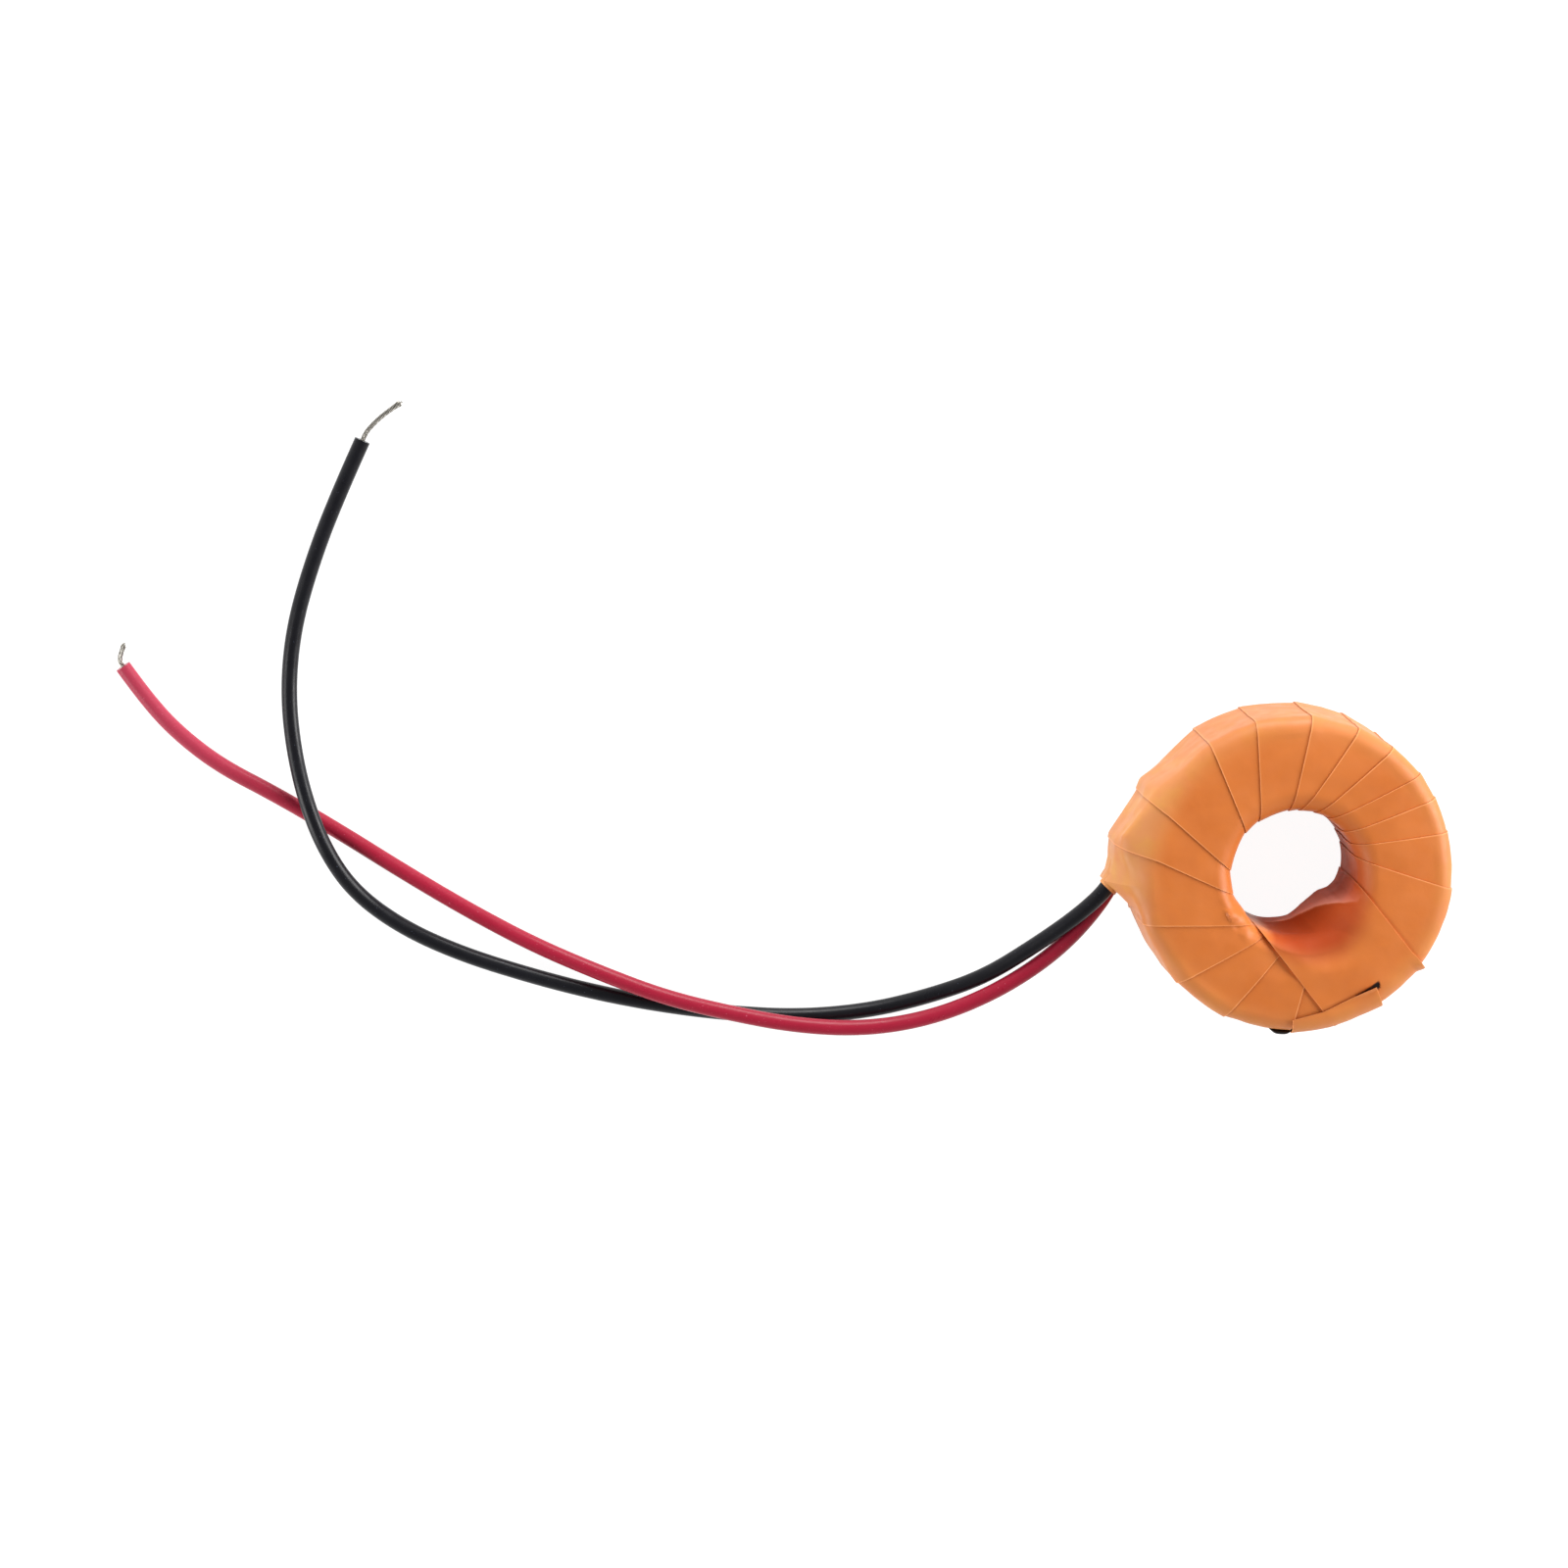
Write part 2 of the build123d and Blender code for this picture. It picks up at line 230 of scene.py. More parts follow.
# Heights at which the gathered tape starts and reaches its stand under the ridge, and
# how far above the ridge it ends
PUCKER_FOOT = (0.6 * MM, 3.2 * MM)
PUCKER_ABOVE = 3.4 * MM

# The hollow in the face over the gathered tape: its depth, its angle and span, and how
# far from the window's wall its middle lies and reaches
DISH_DEPTH = 0.42 * MM
DISH_ANGLE = -66
DISH_SPAN = 44
DISH_RUN = 2.3 * MM
DISH_REACH = 2.6 * MM

# Painted shade on the tape that turns down into the window, by plan angle: how far out
# it reaches in millimetres, and how strong it is, and the width over which it fades
WINDOW_SHADE_FADE = 2.9
WINDOW_SHADE_REACH = [
    (-116.0, 8.8, 0.0),
    (-106.0, 9.2, 0.9),
    (-90.0, 9.7, 1.0),
    (-75.0, 10.2, 1.0),
    (-57.0, 10.6, 1.0),
    (-38.0, 10.0, 0.9),
    (-26.0, 9.4, 0.9),
    (-8.0, 8.8, 0.9),
    (18.0, 8.4, 0.75),
    (50.0, 8.0, 0.5),
    (85.0, 7.8, 0.0),
]

# The leads, where along X a painted highlight makes them paler, and the routes that they lie along
LEAD_DIAMETER = 1.6 * MM
STRAND_BUNDLE = 0.5 * MM
FAR_SHEEN_END = -113 * MM
FAR_SHEEN_START = -98 * MM
BLACK_ROUTE = [
    (-0.01568, 0.00507, 0.0070),
    (-0.01691, 0.00169, 0.0069),
    (-0.01812, -0.00193, 0.00675),
    (-0.0212, -0.0051, 0.0061),
    (-0.0254, -0.0086, 0.0044),
    (-0.0304, -0.0123, 0.0025),
    (-0.0361, -0.0146, 0.0011),
    (-0.0421, -0.0161, 0.0008),
    (-0.0492, -0.0167, 0.0008),
    (-0.0563, -0.0163, 0.0008),
    (-0.0633, -0.0154, 0.0008),
    (-0.0704, -0.0140, 0.0008),
    (-0.0774, -0.0121, 0.0008),
    (-0.0841, -0.0099, 0.0008),
    (-0.0899, -0.0072, 0.0008),
    (-0.0947, -0.0035, 0.0015),
    (-0.0977, 0.0011, 0.0028),
    (-0.0997, 0.0063, 0.0028),
    (-0.1009, 0.0115, 0.0015),
    (-0.1014, 0.0171, 0.0008),
    (-0.1009, 0.0231, 0.0008),
    (-0.0993, 0.0292, 0.0008),
    (-0.0968, 0.0361, 0.0008),
    (-0.0940, 0.0424, 0.0008),
]
RED_ROUTE = [
    (-0.01576, 0.00482, 0.0052),
    (-0.01687, 0.00118, 0.00515),
    (-0.01775, -0.00240, 0.00515),
    (-0.0211, -0.0071, 0.0047),
    (-0.0251, -0.0109, 0.0039),
    (-0.0303, -0.0142, 0.0033),
    (-0.0363, -0.0166, 0.0028),
    (-0.0428, -0.0176, 0.0027),
    (-0.0497, -0.0172, 0.0027),
    (-0.0564, -0.0159, 0.0027),
    (-0.0632, -0.0142, 0.0027),
    (-0.0699, -0.0118, 0.0016),
    (-0.0764, -0.0091, 0.0008),
    (-0.0829, -0.0056, 0.0008),
    (-0.0894, -0.0017, 0.0008),
    (-0.0963, 0.0027, 0.0008),
    (-0.1027, 0.0065, 0.0008),
    (-0.1082, 0.0094, 0.0008),
    (-0.1124, 0.0127, 0.0008),
    (-0.1155, 0.0161, 0.0008),
    (-0.1179, 0.0195, 0.0008),
]
BLACK_TIP = [
    (-0.0936, 0.0433, 0.0008),
    (-0.0926, 0.0444, 0.0009),
    (-0.0913, 0.0455, 0.0012),
    (-0.0900, 0.0464, 0.0013),
]
RED_TIP = [
    (-0.11825, 0.0200, 0.0008),
    (-0.1181, 0.0209, 0.0009),
    (-0.1177, 0.0219, 0.0010),
]


def srgb(code):
    """Linear colour of a written #RRGGBB colour."""
    parts = [int(code[i : i + 2], 16) / 255 for i in (1, 3, 5)]
    linear = [c / 12.92 if c <= 0.04045 else ((c + 0.055) / 1.055) ** 2.4 for c in parts]
    return (*linear, 1.0)


def smooth_step(low, high, value):
    """0 below low, 1 above high and a smooth rise between them."""
    share = np.clip((np.asarray(value, float) - low) / (high - low), 0, 1)
    return share * share * (3 - 2 * share)


def bump(centre, reach, value):
    """Smooth hill of height 1 at the centre that ends a reach away on both sides."""
    share = np.clip(np.abs(np.asarray(value, float) - centre) / reach, 0, 1)
    return (1 - share * share) ** 2


# Camera


def make_camera():
    """Camera over the object, leaning a little to the left and the top of the image."""
    back = Vector((-tan(radians(VIEW_LEAN_LEFT)), tan(radians(VIEW_LEAN_UP)), 1)).normalized()
    right = (Vector((1, 0, 0)) - back.x * back).normalized()
    up = back.cross(right)
    data = bpy.data.cameras.new("camera")
    data.sensor_width = SENSOR_WIDTH
    data.lens = SENSOR_WIDTH * VIEW_DISTANCE * PIXELS_PER_METRE / IMAGE_SIZE
    camera = bpy.data.objects.new("camera", data)
    bpy.context.collection.objects.link(camera)
    place = Matrix((right, up, back)).transposed().to_4x4()
    place.translation = VIEW_TARGET + back * VIEW_DISTANCE
    camera.matrix_world = place
    bpy.context.scene.camera = camera


# Leads


def nurbs_curve(name, points):
    """Curve object of one smooth open spline that the points control."""
    data = bpy.data.curves.new(name, "CURVE")
    data.dimensions = "3D"
    spline = data.splines.new("NURBS")
    spline.points.add(len(points) - 1)
    for point, place in zip(spline.points, points):
        point.co = (*place, 1)
    spline.order_u = 3
    spline.use_endpoint_u = True
    spline.resolution_u = 16
    curve = bpy.data.objects.new(name, data)
    bpy.context.collection.objects.link(curve)
    return curve


def line_of(points):
    """Points read along the smooth spline of a route."""
    guide = nurbs_curve("guide", points)
    bpy.context.view_layer.update()
    graph = bpy.context.evaluated_depsgraph_get()
    mesh = bpy.data.meshes.new_from_object(guide.evaluated_get(graph))
    line = [v.co.copy() for v in mesh.vertices]
    bpy.data.meshes.remove(mesh)
    curve = guide.data
    bpy.data.objects.remove(guide)
    bpy.data.curves.remove(curve)
    return line


def line_length(line):
    """Length of a line of points."""
    return sum((b - a).length for a, b in zip(line, line[1:]))


def make_strands(name, route, tip, material):
    """Twisted bundle of bare strands out of the cut end of a jacket."""
    strand_count = 7
    strand_radius = STRAND_BUNDLE / 6
    twist_pitch = 3.2 * MM
    sides = 8
    line = line_of([route[-2], route[-1], *tip])
    start = min(range(len(line)), key=lambda i: (line[i] - Vector(route[-1])).length)
    line = line[max(start - 3, 0) :]
    mesh = bmesh.new()
    for strand in range(strand_count):
        centre = strand == 0
        spread = 0 if centre else 2 * strand_radius
        phase = 2 * pi * strand / (strand_count - 1)
        short = 0.0 if centre else 0.35 * MM * (0.5 + 0.5 * sin(2.3 * strand))
        total = line_length(line) - short
        rings = []
        gone = 0.0
        for i, point in enumerate(line):
            if i:
                gone += (point - line[i - 1]).length
            if gone > total and len(rings) > 2:
                break
            along = (line[min(i + 1, len(line) - 1)] - line[max(i - 1, 0)]).normalized()
            side = along.cross(Vector((0, 0, 1))).normalized()
            lift = side.cross(along)
            fray = 1 + 0.5 * smooth_step(0.75, 1.0, gone / total)
            angle = phase + 2 * pi * gone / twist_pitch
            middle = point + (side * cos(angle) + lift * sin(angle)) * spread * fray
            ring = []
            for k in range(sides):
                turn = 2 * pi * k / sides
                offset = (side * cos(turn) + lift * sin(turn)) * strand_radius
                ring.append(mesh.verts.new(middle + offset))
            rings.append(ring)
        for a, b in zip(rings, rings[1:]):
            for k in range(sides):
                mesh.faces.new((a[k], a[(k + 1) % sides], b[(k + 1) % sides], b[k]))
        mesh.faces.new(list(reversed(rings[0])))
        mesh.faces.new(rings[-1])
    bmesh.ops.recalc_face_normals(mesh, faces=mesh.faces)
    data = bpy.data.meshes.new(name)
    mesh.to_mesh(data)
    mesh.free()
    data.shade_smooth()
    data.materials.append(material)
    strands = bpy.data.objects.new(name, data)
    bpy.context.collection.objects.link(strands)
    return strands


def make_lead(colour, route, tip, jacket, strand_material):
    """One lead: its jacket on a smooth curve, and its bare strands."""
    node = f"{colour}_lead"
    lead = nurbs_curve(f"{node}_jacket", route)
    lead.data.bevel_depth = LEAD_DIAMETER / 2
    lead.data.bevel_resolution = 8
    lead.data.use_fill_caps = True
    lead.data.materials.append(jacket)
    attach(lead, "root")
    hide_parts(node)
    strands = make_strands(f"{node}_bare_strands", route, tip, strand_material)
    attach(strands, "root")
    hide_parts(f"{node}_strands")
    line_length(line_of(route))


# Materials


def range_node(tree, value, low, high, to_low, to_high):
    """A value mapped from one range onto another, clamped."""
    ranger = tree.nodes.new("ShaderNodeMapRange")
    names = ("From Min", "From Max", "To Min", "To Max")
    for name, number in zip(names, (low, high, to_low, to_high)):
        ranger.inputs[name].default_value = number
    tree.links.new(value, ranger.inputs["Value"])
    return ranger.outputs["Result"]


class Nodes:
    """Short ways to build one material's nodes."""

    def __init__(self, name):
        self.material = bpy.data.materials.new(name)
        self.material.use_nodes = True
        self.tree = self.material.node_tree
        self.shader = self.tree.nodes["Principled BSDF"]
        coordinates = self.tree.nodes.new("ShaderNodeTexCoord")
        self.place = coordinates.outputs["Object"]

    def link(self, source, socket):
        self.tree.links.new(source, socket)

    def along(self, axis):
        """Place along one axis of the object, in metres."""
        parts = self.tree.nodes.new("ShaderNodeSeparateXYZ")
        self.link(self.place, parts.inputs[0])
        return parts.outputs[axis]

    def noise(self, size, detail=3.0, offset=0.0):
        """Noise whose features are about a size across, in metres."""
        mapping = self.tree.nodes.new("ShaderNodeMapping")
        mapping.inputs["Scale"].default_value = [1 / size] * 3
        mapping.inputs["Location"].default_value = (offset, offset, offset)
        self.link(self.place, mapping.inputs["Vector"])
        texture = self.tree.nodes.new("ShaderNodeTexNoise")
        texture.inputs["Scale"].default_value = 1.0
        texture.inputs["Detail"].default_value = detail
        self.link(mapping.outputs["Vector"], texture.inputs["Vector"])
        return texture.outputs["Fac"]

    def spread(self, value, low, high, to_low=0.0, to_high=1.0):
        """A value mapped from one range onto another, clamped."""
        return range_node(self.tree, value, low, high, to_low, to_high)

    def added(self, value, other, times):
        """A value plus another one times a number."""
        node = self.tree.nodes.new("ShaderNodeMath")
        node.operation = "MULTIPLY_ADD"
        self.link(other, node.inputs[0])
        node.inputs[1].default_value = times
        self.link(value, node.inputs[2])
        return node.outputs[0]

    def mixed(self, share, first, second):
        """Mix of two colours, each one a tuple or another node's output."""
        mix = self.tree.nodes.new("ShaderNodeMix")
        mix.data_type = "RGBA"
        self.link(share, mix.inputs["Factor"])
        for socket, colour in ((mix.inputs[6], first), (mix.inputs[7], second)):
            if isinstance(colour, tuple):
                socket.default_value = colour
            else:
                self.link(colour, socket)
        return mix.outputs[2]

    def attribute(self, name):
        """A value that the mesh carries at its points."""
        node = self.tree.nodes.new("ShaderNodeAttribute")
        node.attribute_name = name
        return node.outputs["Fac"]

    def bump(self, height, strength, distance, under=None):
        """Bump of a height in metres, over another bump if there is one."""
        node = self.tree.nodes.new("ShaderNodeBump")
        node.inputs["Strength"].default_value = strength
        node.inputs["Distance"].default_value = distance
        self.link(height, node.inputs["Height"])
        if under:
            self.link(under, node.inputs["Normal"])
        return node.outputs["Normal"]

    def set(self, **values):
        """Set the shader's own sockets, named with underscores."""
        for name, value in values.items():
            socket = self.shader.inputs[name.replace("_", " ")]
            if isinstance(value, bpy.types.NodeSocket):
                self.link(value, socket)
            else:
                socket.default_value = value
        return self.material


def tape_material():
    """Orange film tape: satin, a little uneven in colour, paler at its cut edges, with painted
    highlights, shade and sheen from its point values.
    """
    n = Nodes("orange_film_tape")
    base = n.mixed(n.noise(6 * MM, 2.0), srgb("#C06426"), srgb("#D67C3C"))
    mottle = n.spread(n.noise(1.1 * MM, 4.0, offset=3.0), 0.35, 0.75, 0.0, 0.35)
    base = n.mixed(mottle, base, srgb("#D27430"))
    # Paler tape over the leads, and a painted highlight on the outer rims
    patches = n.spread(n.noise(2.6 * MM, 3.0, offset=11.0), 0.42, 0.62)
    pale = n.mixed(patches, srgb("#DE9A62"), srgb("#E0A45C"))
    colour = n.mixed(n.attribute("pale"), base, pale)
    # Painted shade where the tape turns down into the window
    colour = n.mixed(n.attribute("window_shade"), colour, srgb("#AA3E06"))
    # Painted sheen: light reflected by the window's wall, under the ridge and low down
    colour = n.mixed(n.attribute("window_sheen"), colour, srgb("#F4A08C"))
    # Painted shade: shadow lines beside the turns' steps, inside the mouth and along the cut end
    colour = n.mixed(n.attribute("dark"), colour, srgb("#94461A"))
    # Pale cut edges, partly their own lighter colour and partly a painted highlight
    colour = n.mixed(n.attribute("edge"), colour, srgb("#F0A064"))
    # Painted near-black shade in the gap behind the cut end and on the inside of the sleeve
    colour = n.mixed(n.attribute("black"), colour, srgb("#120804"))
    fine = n.bump(n.noise(0.25 * MM, 3.0), 0.25, 0.01 * MM)
    folds = n.bump(n.noise(2.2 * MM, 3.0, offset=7.0), 0.5, 0.1 * MM, under=fine)
    rough = n.spread(n.noise(1.5 * MM, 3.0, offset=1.0), 0.3, 0.7, 0.38, 0.52)
    rough = n.added(rough, n.attribute("window_shade"), 0.3)
    return n.set(
        Base_Color=colour, Roughness=rough, Normal=folds, Specular_IOR_Level=0.34
    )


def jacket_material(name, colour, speck, speck_share, far_sheen):
    """Smooth extruded jacket with a little dust, and a painted highlight that makes it paler
    towards its far end.
    """
    n = Nodes(name)
    base = n.mixed(n.noise(9 * MM, 2.0), srgb(colour[0]), srgb(colour[1]))
    # Painted highlight: paler towards the far end
    sheen_share = n.spread(n.along(0), FAR_SHEEN_END, FAR_SHEEN_START, 0.5, 0.0)
    base = n.mixed(sheen_share, base, srgb(far_sheen))
    dust = n.spread(n.noise(0.16 * MM, 2.0, offset=5.0), 1 - speck_share, 1.02 - speck_share)
    skin = n.bump(n.noise(0.5 * MM, 3.0), 0.2, 0.02 * MM)
    return n.set(
        Base_Color=n.mixed(dust, base, srgb(speck)),
        Roughness=n.spread(n.noise(1.3 * MM, 3.0, offset=2.0), 0.3, 0.7, 0.26, 0.38),
        Specular_IOR_Level=0.24,
        Normal=skin,
    )


def metal_material(name, colours, roughness):
    """Metal with slightly uneven colour and roughness."""
    n = Nodes(name)
    return n.set(
        Base_Color=n.mixed(n.noise(0.5 * MM, 3.0), srgb(colours[0]), srgb(colours[1])),
        Metallic=1.0,
        Roughness=n.spread(n.noise(0.3 * MM, 3.0, offset=4.0), 0.3, 0.7, *roughness),
        Normal=n.bump(n.noise(0.2 * MM, 2.0), 0.2, 0.01 * MM),
    )


def plain_material(name, colours, roughness):
    """Moulded or cut plastic with a faint grain."""
    n = Nodes(name)
    return n.set(
        Base_Color=n.mixed(n.noise(2 * MM, 3.0), srgb(colours[0]), srgb(colours[1])),
        Roughness=n.spread(n.noise(0.6 * MM, 3.0, offset=4.0), 0.3, 0.7, *roughness),
        Normal=n.bump(n.noise(0.3 * MM, 3.0), 0.3, 0.02 * MM),
    )


# Tape


class Rows:
    """Rows of a mesh round the section of the ring, from the foot of the window up,
    over the face, down the outer wall and back under the ring."""

    def __init__(self, row_step=ROW_STEP):
        places, zones = [], []

        def add(count, point, zone):
            places.extend(point(i / count) for i in range(count))
            zones.extend([zone] * count)

        top, w, r = RING_HEIGHT, WINDOW_ROUND, RIM_ROUND
        face = RING_RADIUS - WINDOW_RADIUS - w - r

        def arc(side, middle, radius, begin, end):
            def point(t):
                a = radians(begin + (end - begin) * t)
                start = radius if side == 0 else -radius
                return side, start + radius * cos(a), middle + radius * sin(a), cos(a), sin(a)

            return point

        def steps(length):
            return max(2, ceil(length / row_step))

        add(steps(top - 2 * w), lambda t: (0, 0, w + (top - 2 * w) * t, -1, 0), "window")
        add(steps(w * pi / 2), arc(0, top - w, w, 180, 90), "window_round")
        add(steps(face), lambda t: (t, w - (w + r) * t, top, 0, 1), "face")
        add(steps(r * pi / 2), arc(1, top - r, r, 90, 0), "rim")
        add(steps(top - 2 * r), lambda t: (1, 0, top - r - (top - 2 * r) * t, 1, 0), "wall")
        add(steps(r * pi / 2), arc(1, r, r, 0, -90), "low_rim")
        add(steps(face), lambda t: (1 - t, -r + (w + r) * t, 0, 0, -1), "foot")
        add(steps(w * pi / 2), arc(0, w, w, -90, -180), "low_window")
        columns = np.array(places, float).T.copy()
        self.share, self.offset, self.height, self.across, self.upward = columns
        self.zone = np.array(zones)
        face_drop = smooth_step(0.3, 1.3, self.share) / smooth_step(0.3, 1.3, 1) * CROWN
        self.height -= np.where(self.zone == "face", face_drop, 0)
        self.height -= np.where(self.zone == "rim", self.upward * CROWN, 0)
        outside = np.isin(self.zone, ["rim", "wall", "low_rim"])
        self.down = np.where(outside, (np.cumsum(outside) - 0.5) / outside.sum(), -1)

    def only(self, keep):
        """A copy with some of the rows."""
        part = object.__new__(Rows)
        for name, values in self.__dict__.items():
            setattr(part, name, values[keep])
        return part


class Columns:
    """Columns of a mesh across the tape: angles at the window and at the rim, and rise."""

    def __init__(self, window, rim, rise):
        self.window = np.array(window, float)
        self.rim = np.array(rim, float)
        self.rise = np.array(rise, float)


def shares_across(edge, next_edge, step=COLUMN_STEP, close=()):
    """Steps across one turn, with two more beside each of its edges, and with closer
    ones between two rim angles where they are given."""
    span = max(abs(a - b) for a, b in zip(edge, next_edge))
    count = max(4, ceil(span / step))
    near = 0.5 / count
    shares = list(np.linspace(2 * near, 1 - 2 * near, count - 1))
    for angle in close:
        share = (angle - edge[1]) / (next_edge[1] - edge[1])
        shares = [s for s in shares if abs(s - share) > 0.004] + [share]
    return np.array([0, near * 0.5, near, *sorted(shares), 1 - near, 1 - near * 0.5, 1])


def across_turn(edge, next_edge, steps):
    """Angles at the window and at the rim, for steps across a turn."""
    return [start + (end - start) * steps for start, end in zip(edge, next_edge)]


def chord_factor(angle, first, last, flatness):
    """How much nearer to the middle tape lies where it is pulled straight."""
    half = radians(abs(last - first) / 2)
    middle = (first + last) / 2
    chord = np.cos(half) / np.cos(np.radians(angle - middle))
    return 1 + flatness * (chord - 1)


def hump_shift(rim_angle, base_radius, down):
    """How far the tape over the leads moves outwards and up, for each column and row."""
    angle = rim_angle % 360
    places, radii = zip(*HUMP_CREST)
    crest = np.interp(angle, places, radii)
    mouth = MOUTH_DISTANCE / np.cos(np.radians(np.clip(angle, 180, 200) - MOUTH_HEADING))
    crest = np.where(angle > MOUTH_START, mouth, crest)
    crest = np.where((angle < places[0]) | (angle > MOUTH_END), 0, crest)
    crest = np.maximum(crest * MM - base_radius, 0)
    places, outs, ups = zip(*HUMP_SHOULDER)
    out = np.interp(angle, places, outs) * MM
    up = np.interp(angle, places, ups) * MM
    none = np.zeros(len(angle))
    tip = smooth_step(*TIP_ANGLES, angle)
    outward = np.stack([none, out, crest, crest, none, none], -1)
    upward = np.stack([none, up, none, none, none, none], -1)
    shifts = []
    for values in (outward, upward):
        rows = []
        for row, share in zip(values, tip):
            places = [a + (b - a) * share for a, b in zip(HUMP_KNOTS, TIP_KNOTS)]
            rows.append(np.interp(down, places, row) * (down >= 0))
        shift = np.array(rows)
        for _ in range(2):
            shift[:, 1:-1] = shift[:, 1:-1] / 2 + (shift[:, :-2] + shift[:, 2:]) / 4
        shifts.append(shift)
    return shifts


def pucker_lines(window_angle):
    """Height of the ridge and how far the ridge and the wall under it stand in."""
    angle = (np.asarray(window_angle) + 180) % 360 - 180
    places, *lines = zip(*PUCKER)
    return [np.interp(angle, places, line) * MM for line in lines]


def pucker_stand(window_angle, height):
    """How far the gathered tape stands into the window."""
    ridge, at_ridge, under = pucker_lines(window_angle)
    stand = np.zeros(height.shape)
    for i in range(len(height)):
        knots = [*PUCKER_FOOT, ridge[i], ridge[i] + PUCKER_ABOVE]
        stand[i] = np.interp(height[i], knots, [0, under[i], at_ridge[i], 0])
    stand[:, 1:-1] = stand[:, 1:-1] / 2 + (stand[:, :-2] + stand[:, 2:]) / 4
    return stand


def dish_depth(window_angle, run):
    """Depth of the hollow in the face where the gathered tape turns into the window,
    by the run from the window's wall."""
    angle = (np.asarray(window_angle) + 180) % 360 - 180
    return DISH_DEPTH * bump(DISH_ANGLE, DISH_SPAN, angle) * bump(DISH_RUN, DISH_REACH, run)


def cut_line(x):
    """Plan place of the tape's cut end, its Y by its X."""
    places, heights = zip(*TAPE_END_CUT)
    return np.interp(x / MM, places, heights) * MM


def gap_share(x, y):
    """1 in the gap behind the tape's cut end, painted near-black as shade, and 0 away from it."""
    places, widths = zip(*GAP)
    width = np.interp(x / MM, places, widths) * MM
    away = y - cut_line(x)
    inside = (width > 0) & (away > -0.5 * MM)
    return np.where(inside, smooth_step(width + 0.1 * MM, width - 0.06 * MM, away), 0)


def relief(points, rows, columns):
    """Unevenness of hand-wound tape along its own normal."""
    flat = points.reshape(-1, 3)
    wide = np.array([noise.noise(Vector(p) * WIDE_FOLDS) for p in flat])
    fine = np.array([noise.noise(Vector(p) * FINE_FOLDS + Vector((9, 4, 2))) for p in flat])
    amount = np.array([RELIEF.get(zone, OTHER_RELIEF) for zone in rows.zone])
    shape = points.shape[:2]
    rough = (wide.reshape(shape) + 0.3 * fine.reshape(shape)) * amount[None, :]
    creased = bump(CREASE_ANGLE, CREASE_SPAN, columns.window % 360)[:, None]
    creased = creased * (rows.zone == "window_round")
    return (rough + 0.4 * creased * fine.reshape(shape)) * MM


def tape_points(columns, rows, window_factor, rim_factor, lift=0.0, flare=0.0):
    """Points of a stretch of tape, one line of rows for each column."""
    window = np.radians(columns.window)[:, None]
    rim = np.radians(columns.rim)[:, None]
    start_radius = WINDOW_RADIUS * window_factor[:, None]
    end_radius = RING_RADIUS * rim_factor[:, None]
    start = np.stack([start_radius * np.cos(window), start_radius * np.sin(window)], -1)
    end = np.stack([end_radius * np.cos(rim), end_radius * np.sin(rim)], -1)
    chord = end - start
    length = np.linalg.norm(chord, axis=-1)
    along = chord / length[..., None]
    rise = columns.rise[:, None] + lift
    run = rows.share[None, :] * length + rows.offset[None, :]
    height = np.broadcast_to(rows.height[None, :], run.shape)
    across = np.broadcast_to(rows.across[None, :], run.shape)
    upward = np.broadcast_to(rows.upward[None, :], run.shape)
    window_side = np.isin(rows.zone, ["window", "window_round", "low_window"])
    stand = pucker_stand(columns.window, height) * window_side[None, :]
    dish = dish_depth(columns.window[:, None], np.abs(run)) * (rows.upward > 0.05)[None, :]
    run = run + across * rise - stand
    height = height + upward * rise - dish
    outward, up = hump_shift(columns.rim, end_radius[:, 0], rows.down)
    outward = outward + flare * bump(0.12, 0.32, rows.down)[None, :]
    plan = start + along * run[..., None]
    radial = plan / np.linalg.norm(plan, axis=-1)[..., None]
    plan = plan + radial * outward[..., None]
    points = np.concatenate([plan, (height + up)[..., None]], -1)
    normal = np.concatenate([along * across[..., None], upward[..., None]], -1)
    points = points + normal * relief(points, rows, columns)[..., None]
    points[..., 2] = np.maximum(points[..., 2], 0.0)
    return points


def set_borders(points, first, last):
    """Put the columns beside a turn's two edges at fixed distances from them."""
    for edge, inner, step in ((first, first + 3, 1), (last, last - 3, -1)):
        away = points[inner] - points[edge]
        length = np.maximum(np.linalg.norm(away, axis=-1), 1e-9)[:, None]
        for number, distance in enumerate(BORDER_STEPS, 1):
            share = np.minimum(distance / length, 0.3 * number)
            points[edge + step * number] = points[edge] + away * share


def tape_sheet(rows, edges, rise, thickness, flare=0.0):
    """Outer and inner points of tape that lies over the wrap between two edges, with its
    columns and the steps across it. It may flare out below the rim at its first edge."""
    first, last = edges
    steps = shares_across(first, last, FINE_COLUMN_STEP)
    at_window, at_rim = across_turn(first, last, steps)
    columns = Columns(at_window, at_rim, np.full(len(steps), rise))
    factors = np.ones(len(steps)), chord_factor(at_rim, first[1], last[1], END_FLATNESS)
    over = tape_points(columns, rows, *factors, flare=flare * smooth_step(0.09, 0, steps)[:, None])
    under = tape_points(columns, rows, *factors, lift=-thickness)
    return over, under, columns, steps


